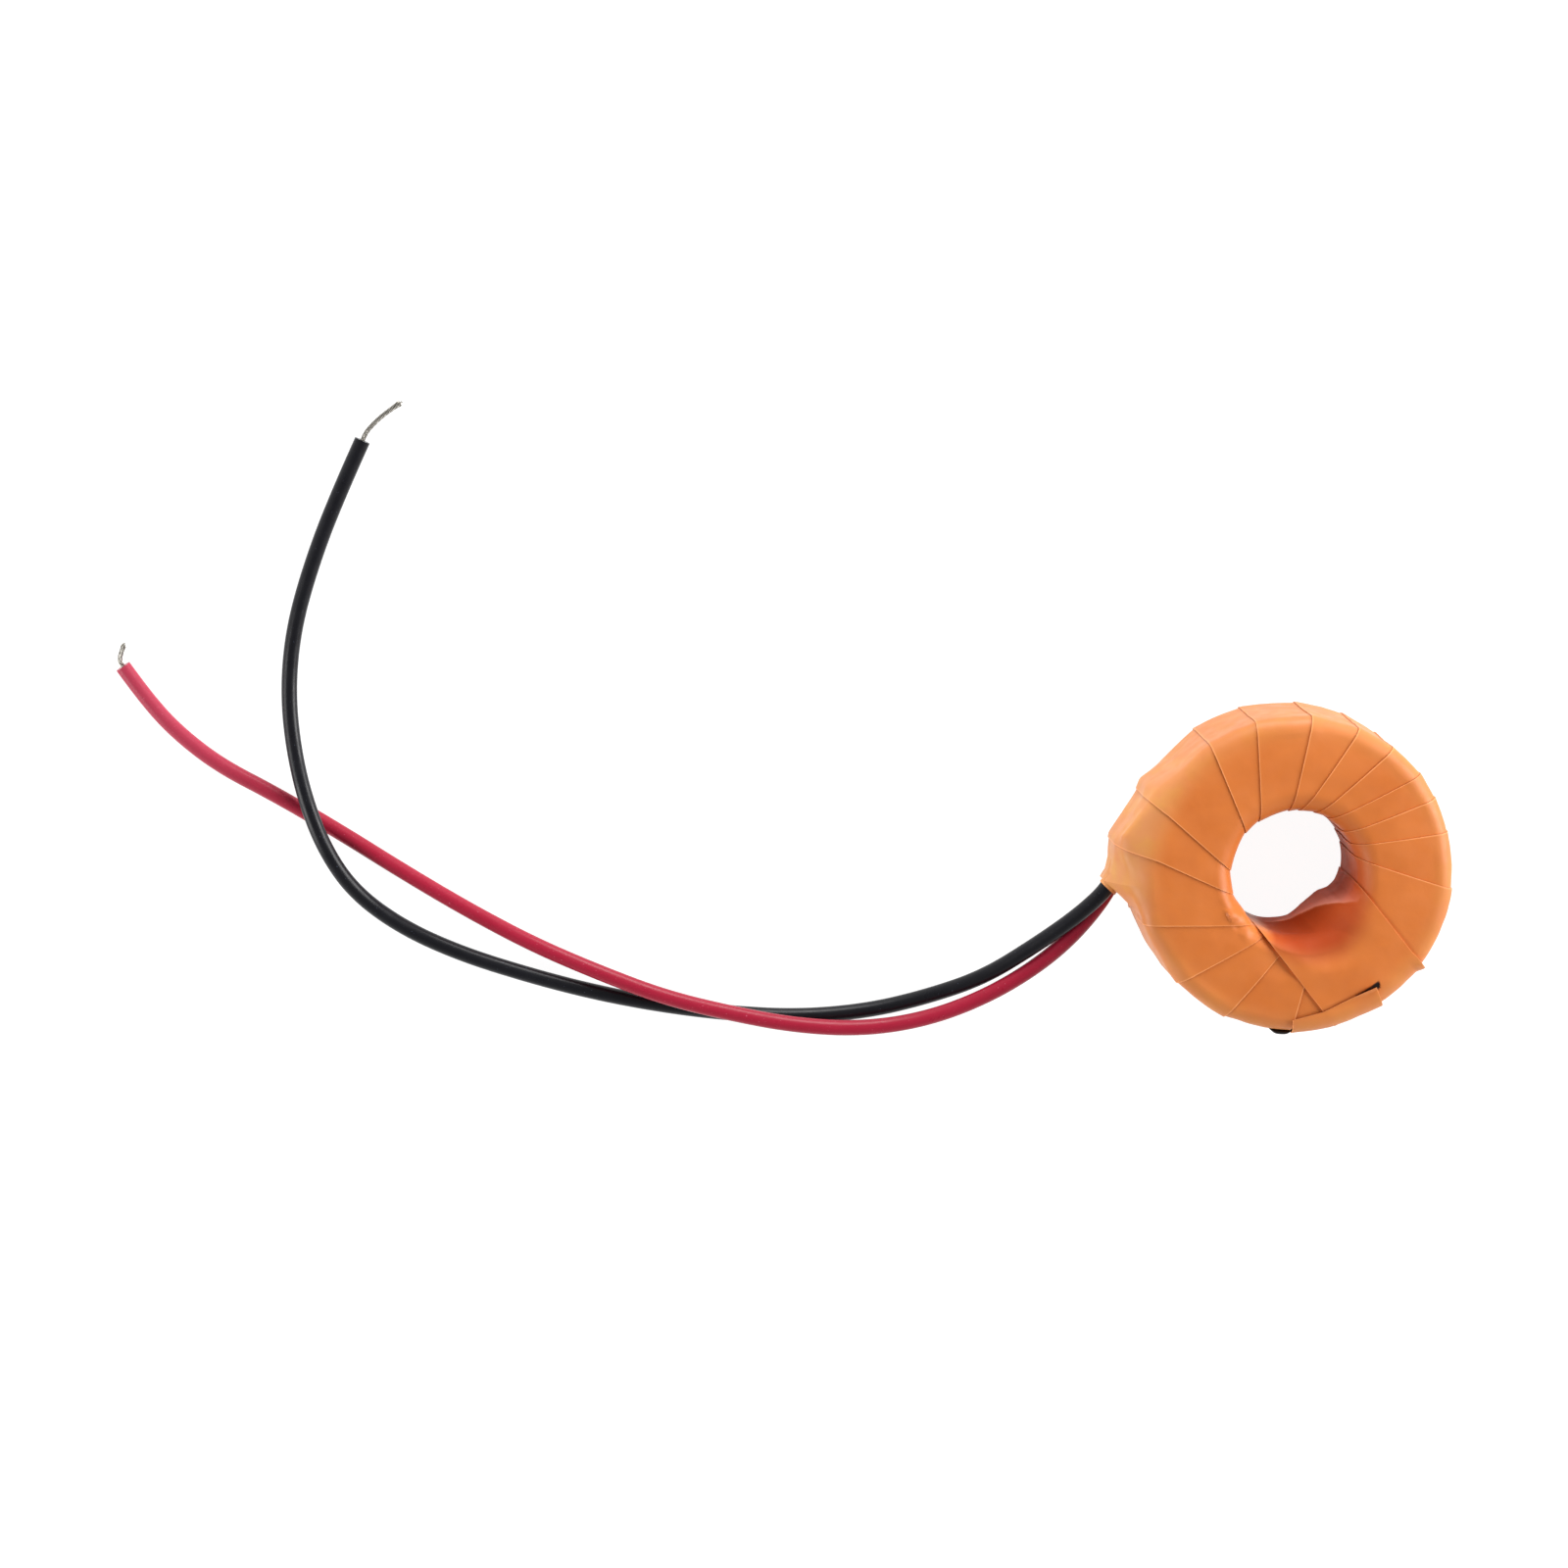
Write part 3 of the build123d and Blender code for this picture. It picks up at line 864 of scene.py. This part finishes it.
def grid_object(name, points, values, material, closed_rows=True):
    """Closed skin over a grid of points that wraps round in its columns, with values
    at its points. Where the rows don't wrap round too, both ends are capped."""
    columns, rows = points.shape[:2]
    data = bpy.data.meshes.new(name)
    last = rows if closed_rows else rows - 1
    faces = []
    for i in range(columns):
        j = (i + 1) % columns
        for k in range(last):
            m = (k + 1) % rows
            faces.append((i * rows + k, i * rows + m, j * rows + m, j * rows + k))
    if not closed_rows:
        half = columns // 2
        for k, flip in ((0, False), (rows - 1, True)):
            for i in range(half - 1):
                a, b = i, i + 1
                c, d = columns - 2 - i, columns - 1 - i
                cap = [n * rows + k for n in (a, b, c, d)]
                faces.append(tuple(reversed(cap)) if flip else tuple(cap))
    data.from_pydata([tuple(p) for p in points.reshape(-1, 3)], [], faces)
    for key, value in values.items():
        attribute = data.attributes.new(key, "FLOAT", "POINT")
        attribute.data.foreach_set("value", value.astype(np.float32).ravel())
    mesh = bmesh.new()
    mesh.from_mesh(data)
    bmesh.ops.recalc_face_normals(mesh, faces=mesh.faces)
    mesh.to_mesh(data)
    mesh.free()
    data.materials.append(material)
    data.shade_smooth()
    data.set_sharp_from_angle(angle=radians(SHARP_ANGLE))
    piece = bpy.data.objects.new(name, data)
    bpy.context.collection.objects.link(piece)
    return piece


def sheet_object(name, over, under, values, material, closed_rows=True):
    """Closed skin over the outer and the inner points of a sheet of tape."""
    points = np.concatenate([over, under[::-1]])
    values = {key: np.concatenate([v, v[::-1]]) for key, v in values.items()}
    return grid_object(name, points, values, material, closed_rows)


def tip_paleness(points):
    """How much paler the tape is over the leads."""
    away = (points[..., :2] / MM - TIP_MIDDLE) / TIP_SPREAD
    return TIP_SHARE * np.exp(-(away**2).sum(axis=-1))


def tape_values(points, columns, rows):
    """Painted highlights and shade of the tape at each point, and paler tape over the leads."""
    shape = points.shape[:2]
    values = {key: np.zeros(shape) for key in TAPE_VALUES}
    x, y, z = (points[..., i] / MM for i in range(3))
    # Painted highlight on the outer rims, stronger round the hump; paler tape over the leads
    rim = (rows.across > -0.1)[None, :] * smooth_step(*RIM_HIGHLIGHT_RADII, np.hypot(x, y)) * (z > 1)
    rim = rim * RIM_HIGHLIGHT_SHARE * (1 + bump(RIM_HIGHLIGHT_ANGLE, RIM_HIGHLIGHT_SPAN, columns.rim % 360)[:, None])
    values["pale"][:] = np.maximum(tip_paleness(points), rim)
    ridge, at_ridge, _ = (line[:, None] / MM for line in pucker_lines(columns.window))
    inner = np.isin(rows.zone, ["window", "window_round", "face", "low_window"])[None, :]
    # Painted shade on the tape that turns down into the window
    places, reaches, strengths = zip(*WINDOW_SHADE_REACH)
    plan_angle = np.degrees(np.arctan2(y, x))
    reach = np.interp(plan_angle, places, reaches)
    strength = np.interp(plan_angle, places, strengths) * inner * (z > 0.3)
    inside = smooth_step(reach, reach - WINDOW_SHADE_FADE, np.hypot(x, y))
    values["window_shade"][:] = strength * inside
    gathered = np.clip(at_ridge / 0.8, 0, 1)
    # Painted sheen on the window's wall, under the ridge of the gathered tape and low on the wall
    # elsewhere
    below = smooth_step(0.06, -0.12, z - ridge) * gathered
    low = smooth_step(6.5, 2.0, z) * (1 - gathered)
    values["window_sheen"][:] = np.clip(0.95 * below + 0.6 * low, 0, 1) * strength
    # Painted highlight along the ridge of the gathered tape
    values["edge"][:] = 0.22 * bump(-0.1, 0.4, z - ridge) * gathered * strength
    return values


def mark_borders(values, first, last, lying=True):
    """Pale cut border of a turn, partly its own colour and partly a painted highlight, and the
    painted shade of the next turn that lies on its end.
    """
    values["edge"][first : first + 3] = np.array(EDGE_SHARES)[:, None]
    values["dark"][last - 2 : last + 1] = np.array(SHADE_SHARES)[:, None] * lying


def beside_last_turn(points):
    """How far beyond the first edge of the last turn points lie, in millimetres, and
    whether they lie beside it at all."""
    (window, rim), _ = LAST_TURN_EDGES
    start = WINDOW_RADIUS * np.array((cos(radians(window)), sin(radians(window))))
    end = RING_RADIUS * np.array((cos(radians(rim)), sin(radians(rim))))
    along = (end - start) / np.linalg.norm(end - start)
    away = points[..., :2] - start
    return (along[0] * away[..., 1] - along[1] * away[..., 0]) / MM, away @ along > 0


def make_wrap(material):
    """All the turns of tape but the last, each one lying on the one before."""
    window, rim, rise = [], [], []
    window_factor, rim_factor = [], []
    spans = []
    edges = TURN_EDGES + [tuple(angle - 360 for angle in TURN_EDGES[0])]
    for edge, next_edge in zip(edges, edges[1:]):
        close = [a for a in MOUTH_COLUMNS if next_edge[1] + 1 < a < edge[1] - 1]
        steps = shares_across(edge, next_edge, close=close)
        at_window, at_rim = across_turn(edge, next_edge, steps)
        spans.append((len(window), len(window) + len(steps) - 1))
        window.extend(at_window)
        rim.extend(at_rim)
        rise.extend(LAP_RISE * (1 - steps))
        pulled = edge[1] - next_edge[1] <= WIDE_TURN
        inner_flatness, outer_flatness = WINDOW_FLATNESS * pulled, RIM_FLATNESS * pulled
        window_factor.extend(chord_factor(at_window, edge[0], next_edge[0], inner_flatness))
        rim_factor.extend(chord_factor(at_rim, edge[1], next_edge[1], outer_flatness))
    columns = Columns(window, rim, rise)
    rows = Rows()
    points = tape_points(columns, rows, np.array(window_factor), np.array(rim_factor))
    values = tape_values(points, columns, rows)
    for first, last in spans:
        set_borders(points, first, last)
        mark_borders(values, first, last)
    away, beside = beside_last_turn(points)
    beside = beside * (rows.upward > 0)
    # Painted shadow beside the first edge of the last turn
    values["dark"] += 0.3 * smooth_step(0.35, 0.05, np.abs(away - 0.1)) * beside
    mouth = inside_mouth(points)
    out, _ = mouth_frame()
    points[mouth] -= np.array(out) * MOUTH_DEPTH
    # Painted shade inside the mouth where the leads go in
    values["dark"][mouth] = 1.0
    wrap = grid_object("tape_wrap", points, values, material)
    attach(wrap, "root")
    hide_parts("outer_tape")


def mouth_frame():
    """The way out of the mouth, and the way across it."""
    heading = radians(MOUTH_HEADING)
    out = Vector((cos(heading), sin(heading), 0))
    return out, Vector((-out.y, out.x, 0))


def place_on(line, distance):
    """Point of a line at a length from its start."""
    for a, b in zip(line, line[1:]):
        step = (b - a).length
        if distance <= step:
            return a.lerp(b, distance / step)
        distance -= step
    return line[-1].copy()


def length_to_mouth(line):
    """Length of a lead's line up to the plane of the mouth."""
    out, _ = mouth_frame()
    gone = 0.0
    for a, b in zip(line, line[1:]):
        short, past = (MOUTH_DISTANCE * MM - point.dot(out) for point in (a, b))
        if past <= 0 < short:
            return gone + (b - a).length * short / (short - past)
        gone += (b - a).length
    return gone


def inside_mouth(points):
    """True for the points of tape where the leads pass through the mouth's plane."""
    out, across = mouth_frame()
    lines = [line_of(route) for route in (BLACK_ROUTE, RED_ROUTE)]
    places = [place_on(line, length_to_mouth(line)) for line in lines]
    a, b = (np.array((place.dot(across), place.z)) for place in places)
    flat = np.stack([points @ np.array(across), points[..., 2]], -1)
    share = np.clip((flat - a) @ (b - a) / ((b - a) @ (b - a)), 0, 1)
    away = np.linalg.norm(flat - a - share[..., None] * (b - a), axis=-1)
    ahead = np.abs(points @ np.array(out) - MOUTH_DISTANCE * MM)
    return (away < MOUTH_RADIUS) & (ahead < MOUTH_REACH)


def make_sleeve(material):
    """Tape drawn tight round both leads and cut square where they come out."""
    out, _ = mouth_frame()
    lines = [line_of(route) for route in (BLACK_ROUTE, RED_ROUTE)]
    reaches = [length_to_mouth(line) for line in lines]
    turns = np.linspace(0, 2 * pi, SLEEVE_SIDES, endpoint=False)

    def section(back, grow):
        places = [place_on(line, reach - back) for line, reach in zip(lines, reaches)]
        ahead = [place_on(line, reach - back + 0.3 * MM) for line, reach in zip(lines, reaches)]
        way = sum(((b - a).normalized() for a, b in zip(places, ahead)), Vector())
        way.z = 0
        way = way.normalized().lerp(out, float(smooth_step(2.0, 0.0, back / MM))).normalized()
        side = Vector((-way.y, way.x, 0))
        middle = (places[0] + places[1]) / 2
        flat = [((place - middle).dot(side), place.z) for place in places]
        radius = LEAD_DIAMETER / 2 + grow
        ring = []
        for turn in turns:
            u, v = max(flat, key=lambda c: c[0] * cos(turn) + c[1] * sin(turn))
            point = middle + side * (u + radius * cos(turn))
            ring.append((point.x, point.y, v + radius * sin(turn)))
        return ring

    backs = np.linspace(SLEEVE_LENGTH, -SLEEVE_PROUD, SLEEVE_STEPS)
    outer = np.array([section(back, SLEEVE_OUTER) for back in backs])
    inner = np.array([section(back, SLEEVE_INNER) for back in backs[::-1]])
    points = np.concatenate([outer, inner]).transpose(1, 0, 2)
    skin = points[:, :SLEEVE_STEPS]
    folds = np.array([noise.noise(Vector(p) * SLEEVE_FOLDS) for p in skin.reshape(-1, 3)])
    swell = folds.reshape(SLEEVE_SIDES, SLEEVE_STEPS) * SLEEVE_SWELL
    middle = points.mean(axis=0)[None, :SLEEVE_STEPS]
    away = skin - middle
    away /= np.linalg.norm(away, axis=-1)[..., None]
    skin += away * swell[..., None]
    values = {key: np.zeros(points.shape[:2]) for key in TAPE_VALUES}
    values["pale"][:] = tip_paleness(points)
    # Pale cut edge, partly its own colour and partly a painted highlight; painted near-black shade
    # inside
    values["edge"][:, SLEEVE_STEPS - 1] = 0.9
    values["black"][:, SLEEVE_STEPS + 1 :] = 0.95
    piece = grid_object("lead_sleeve", points, values, material)
    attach(piece, "root")
    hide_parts("outer_tape")


def make_last_turn(material):
    """The wide last turn, which gathers in the window."""
    rows = Rows(FINE_ROW_STEP)
    over, under, outer, steps = tape_sheet(
        rows, LAST_TURN_EDGES, LAST_TURN_RISE, LAST_TURN_RISE - HIDDEN_RISE, LAST_TURN_FLARE
    )
    values = tape_values(over, outer, rows)
    set_borders(over, 0, len(steps) - 1)
    mark_borders(values, 0, len(steps) - 1, lying=False)
    # Pale border, partly the edge's own colour and partly a painted highlight
    values["edge"][-3:] = np.array(LAST_TURN_SHARES)[:, None]
    top = (rows.upward > 0.5)[None, :]
    # Painted near-black shade in the gap behind the cut end, which is also sunk a little
    gap = gap_share(over[..., 0], over[..., 1]) * top
    over[..., 2] -= GAP_DEPTH * gap
    values["black"][:] = gap
    # Painted shadow on the last turn just beyond the tape end's cut
    away = (over[..., 1] - cut_line(over[..., 0])) / MM
    under_cut = (away > -0.6) & (over[..., 0] < GAP[-1][0] * MM)
    values["dark"] += 0.5 * top * smooth_step(0.42, 0.08, away) * under_cut
    piece = sheet_object("last_turn", over, under, values, material)
    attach(piece, "root")
    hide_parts("outer_tape")


def make_tape_end(material):
    """Cut end of the tape, brought up the wall and stuck over the rim."""
    rows = Rows(FINE_ROW_STEP)
    rows = rows.only(np.isin(rows.zone, ["face", "rim", "wall", "low_rim"]))

    def cut_back(points):
        """Draw the face's rows out to the cut line."""
        points = points.copy()
        count = (rows.zone == "face").sum()
        for column in points:
            away = column[:, 1] - cut_line(column[:, 0])
            inside = np.nonzero(away[: count + 3] > 0)[0]
            if not len(inside):
                continue
            index = inside[-1]
            a, b = column[index].copy(), column[index + 1].copy()
            edge = a + (b - a) * away[index] / (away[index] - away[index + 1])
            last_row = max(count, index + 2)
            keep = column[last_row].copy()
            shares = np.linspace(0, 1, last_row, endpoint=False)[:, None]
            column[:last_row] = edge + (keep - edge) * shares
        return points

    over, under, outer, steps = tape_sheet(
        rows, TAPE_END_EDGES, TAPE_END_RISE, TAPE_END_THICKNESS
    )
    over, under = cut_back(over), cut_back(under)
    set_borders(over, 0, len(steps) - 1)
    near_cut = np.linspace(1, 0, (rows.zone == "face").sum())
    lift = np.zeros(len(rows.zone))
    lift[: len(near_cut)] = near_cut**2
    right = smooth_step(0.45, 0.0, steps)
    curl = (CUT_CURL + CORNER_CURL * right[:, None] ** 2) * lift[None, :]
    over[..., 2] += curl
    under[..., 2] += curl
    values = tape_values(over, outer, rows)
    mark_borders(values, 0, len(steps) - 1, lying=False)
    # Pale borders, partly the edges' own colour and partly painted highlight; painted shade on the
    # cut face
    values["edge"][-3:] = np.array(TAPE_END_SHARES)[:, None]
    values["edge"][:, 1:4] = np.array(CUT_SHARES)
    values["dark"][:, 0] = 1.0
    values["edge"][:, 0] = 0.0
    values["pale"] += 0.4 * right[:, None] * lift[None, :]
    piece = sheet_object("tape_end", over, under, values, material, closed_rows=False)
    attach(piece, "root")
    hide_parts("outer_tape")


def make_black_strip(material):
    """End of the black strip, bent round the wall beside the end of the tape."""
    angles = np.linspace(*STRIP_ANGLES, STRIP_STEPS)
    turns = (np.arange(STRIP_SIDES) + 0.5) / STRIP_SIDES * 2 * pi
    low, high = STRIP_HEIGHTS
    points = np.zeros((len(turns), len(angles), 3))
    for k, angle in enumerate(angles):
        ahead = 2 * (angle - angles[0]) / (angles[-1] - angles[0]) - 1
        fullness = max(1 - abs(ahead) ** 3, 0.12)
        tall = (high - low) / 2 * (0.86 + 0.14 * fullness)
        bulge = noise.noise(Vector((angle * 0.5, 3.0, 1.0))) * 0.05 * MM
        for i, turn in enumerate(turns):
            c, t = cos(turn), sin(turn)
            thick = (STRIP_THICKNESS * fullness + bulge) / 2
            radius = STRIP_RADIUS + thick * (1 + abs(c) ** 0.6 * (1 if c > 0 else -1))
            height = (low + high) / 2 + tall * abs(t) ** 0.35 * (1 if t > 0 else -1)
            points[i, k] = (radius * cos(radians(angle)), radius * sin(radians(angle)), height)
    strip = grid_object("black_strip_end", points, {}, material, closed_rows=False)
    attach(strip, "root")
    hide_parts("black_tab")


# Floor, light and background


def make_stage():
    """White floor that keeps a soft shadow."""
    half = 1.5
    matte_grey, shown_grey, glow_strength = 0.8, 0.26, 0.93
    data = bpy.data.meshes.new("floor")
    corners = [(-half, -half, 0), (half, -half, 0), (half, half, 0), (-half, half, 0)]
    data.from_pydata(corners, [], [(0, 1, 2, 3)])
    floor = bpy.data.objects.new("floor", data)
    bpy.context.collection.objects.link(floor)
    material = bpy.data.materials.new("floor_white")
    material.use_nodes = True
    tree = material.node_tree
    link = tree.links.new
    matte = tree.nodes.new("ShaderNodeBsdfDiffuse")
    matte.inputs["Color"].default_value = (*[matte_grey] * 3, 1)
    shown = tree.nodes.new("ShaderNodeBsdfDiffuse")
    shown.inputs["Color"].default_value = (*[shown_grey] * 3, 1)
    glow = tree.nodes.new("ShaderNodeEmission")
    glow.inputs["Strength"].default_value = glow_strength
    seen = tree.nodes.new("ShaderNodeLightPath")
    either = tree.nodes.new("ShaderNodeMath")
    either.operation = "MAXIMUM"
    link(seen.outputs["Is Camera Ray"], either.inputs[0])
    link(seen.outputs["Is Glossy Ray"], either.inputs[1])
    white = tree.nodes.new("ShaderNodeAddShader")
    link(shown.outputs[0], white.inputs[0])
    link(glow.outputs[0], white.inputs[1])
    mix = tree.nodes.new("ShaderNodeMixShader")
    link(either.outputs[0], mix.inputs[0])
    link(matte.outputs[0], mix.inputs[1])
    link(white.outputs[0], mix.inputs[2])
    link(mix.outputs[0], tree.nodes["Material Output"].inputs["Surface"])
    data.materials.append(material)


def area_light(name, place, size, power):
    """Soft square lamp that points at the middle of the ring."""
    data = bpy.data.lights.new(name, "AREA")
    data.size = size
    data.energy = power
    lamp = bpy.data.objects.new(name, data)
    bpy.context.collection.objects.link(lamp)
    lamp.location = place
    lamp.rotation_euler = (RING_MIDDLE - Vector(place)).to_track_quat("-Z", "Y").to_euler()


def make_light():
    """Bright all round near the horizon, dimmer overhead, as in a light tent."""
    world = bpy.data.worlds.new("tent")
    bpy.context.scene.world = world
    world.use_nodes = True
    tree = world.node_tree
    back = tree.nodes["Background"]
    coordinates = tree.nodes.new("ShaderNodeTexCoord")
    parts = tree.nodes.new("ShaderNodeSeparateXYZ")
    tree.links.new(coordinates.outputs["Generated"], parts.inputs[0])
    strength = range_node(tree, parts.outputs["Z"], 0.1, 0.95, 0.85, 0.22)
    tree.links.new(strength, back.inputs["Strength"])
    back.inputs["Color"].default_value = (1, 1, 1, 1)
    area_light("top_lamp", (0.05, 0.55, 0.16), size=0.3, power=2.6)
    area_light("left_lamp", (-0.5, -0.15, 0.16), size=0.3, power=1.7)
    area_light("right_lamp", (0.52, 0.1, 0.24), size=0.35, power=3.9)


def finish_nodes():
    """Finishes of the nodes that keep their own shape."""
    metal = metal_material("core_steel", ("#7C7C80", "#96969A"), (0.3, 0.45))
    solder = metal_material("bright_solder", ("#B4B4B8", "#D0D0D2"), (0.2, 0.35))
    copper = metal_material("enamelled_copper", ("#A8562A", "#C06A38"), (0.25, 0.4))
    board = plain_material("insulating_board", ("#C8BC98", "#D6CCA8"), (0.5, 0.65))
    case = plain_material("case_plastic", ("#18181A", "#222226"), (0.45, 0.6))
    pale = plain_material("pale_film_tape", ("#D8C070", "#E2CC84"), (0.35, 0.5))
    finishes = {
        "strip_core": metal,
        "black_solder_joint": solder,
        "red_solder_joint": solder,
        "winding": copper,
        "joint_pad": board,
        "core_case": case,
        "core_case_lid": case,
        "inner_tape": pale,
    }
    for name, material in finishes.items():
        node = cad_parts[name]
        node.data.materials.clear()
        node.data.materials.append(material)


make_camera()
tinned = metal_material("tinned_strands", ("#8C8880", "#C9C5BD"), (0.25, 0.4))
black_jacket = jacket_material(
    "black_jacket", ("#101014", "#19191E"), "#5C6478", 0.26, "#1C1C20"
)
red_jacket = jacket_material(
    "red_jacket", ("#961A30", "#AA223C"), "#CC6A7E", 0.28, "#BE4C62"
)
make_lead("black", BLACK_ROUTE, BLACK_TIP, black_jacket, tinned)
make_lead("red", RED_ROUTE, RED_TIP, red_jacket, tinned)
tape = tape_material()
make_wrap(tape)
make_last_turn(tape)
make_sleeve(tape)
make_tape_end(tape)
make_black_strip(plain_material("black_strip", ("#0A0706", "#17100E"), (0.4, 0.55)))
finish_nodes()
make_stage()
make_light()
bpy.context.scene.view_settings.view_transform = "Standard"

bpy.context.view_layer.update()
